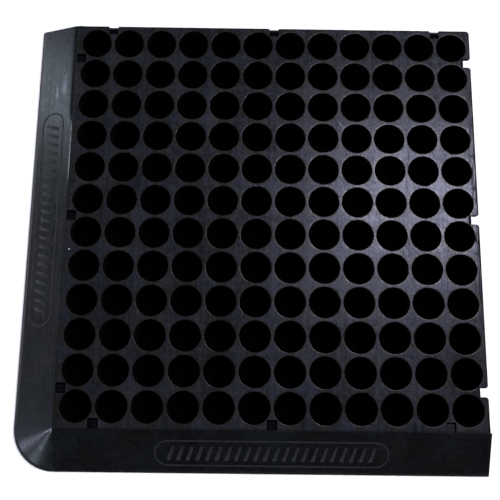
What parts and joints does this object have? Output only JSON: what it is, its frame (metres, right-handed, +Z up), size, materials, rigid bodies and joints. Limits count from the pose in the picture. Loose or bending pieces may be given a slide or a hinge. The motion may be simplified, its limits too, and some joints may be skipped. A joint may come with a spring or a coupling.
{
  "type": "perforated rubber floor tile with edge ramps",
  "caption": "Square black rubber floor tile with a grid of round drain holes, bevelled ramps keyed onto two sides, a rounded corner and open notches for joining more tiles.",
  "frame": {"origin": "middle of the footprint, on the floor", "axes": "+X to the tile's right side (open notches), +Y to the rear side, +Z up; the ramps are on the -X and -Y sides"},
  "size_m": [0.5516, 0.55, 0.022],
  "materials": {
    "tile_rubber": "satin moulded rubber, slightly dusty",
    "ramp_rubber": "satin moulded rubber, smoother than the tile",
    "key_rubber": "matt moulded rubber"
  },
  "bodies": {
    "tile": {"tile": "tile_rubber"},
    "left_ramp": {"left_ramp": "ramp_rubber", "left_key_rear": "key_rubber", "left_key_middle": "key_rubber", "left_key_front": "key_rubber"},
    "front_ramp": {"front_ramp": "ramp_rubber", "front_key_left": "key_rubber", "front_key_middle": "key_rubber", "front_key_right": "key_rubber"},
    "rear_plug_left": {"rear_plug_left": "key_rubber"},
    "rear_plug_middle": {"rear_plug_middle": "key_rubber"},
    "rear_plug_right": {"rear_plug_right": "key_rubber"}
  },
  "joints": [
    {"name": "left_ramp_pull", "type": "slide", "parent": "tile", "child": "left_ramp", "axis": [-1, 0, 0], "range_m": [0, 0.03]},
    {"name": "front_ramp_pull", "type": "slide", "parent": "tile", "child": "front_ramp", "axis": [0, -1, 0], "range_m": [0, 0.03]},
    {"name": "rear_plug_left_pull", "type": "slide", "parent": "tile", "child": "rear_plug_left", "axis": [0, 1, 0], "range_m": [0, 0.02]},
    {"name": "rear_plug_middle_pull", "type": "slide", "parent": "tile", "child": "rear_plug_middle", "axis": [0, 1, 0], "range_m": [0, 0.02]},
    {"name": "rear_plug_right_pull", "type": "slide", "parent": "tile", "child": "rear_plug_right", "axis": [0, 1, 0], "range_m": [0, 0.02]}
  ]
}
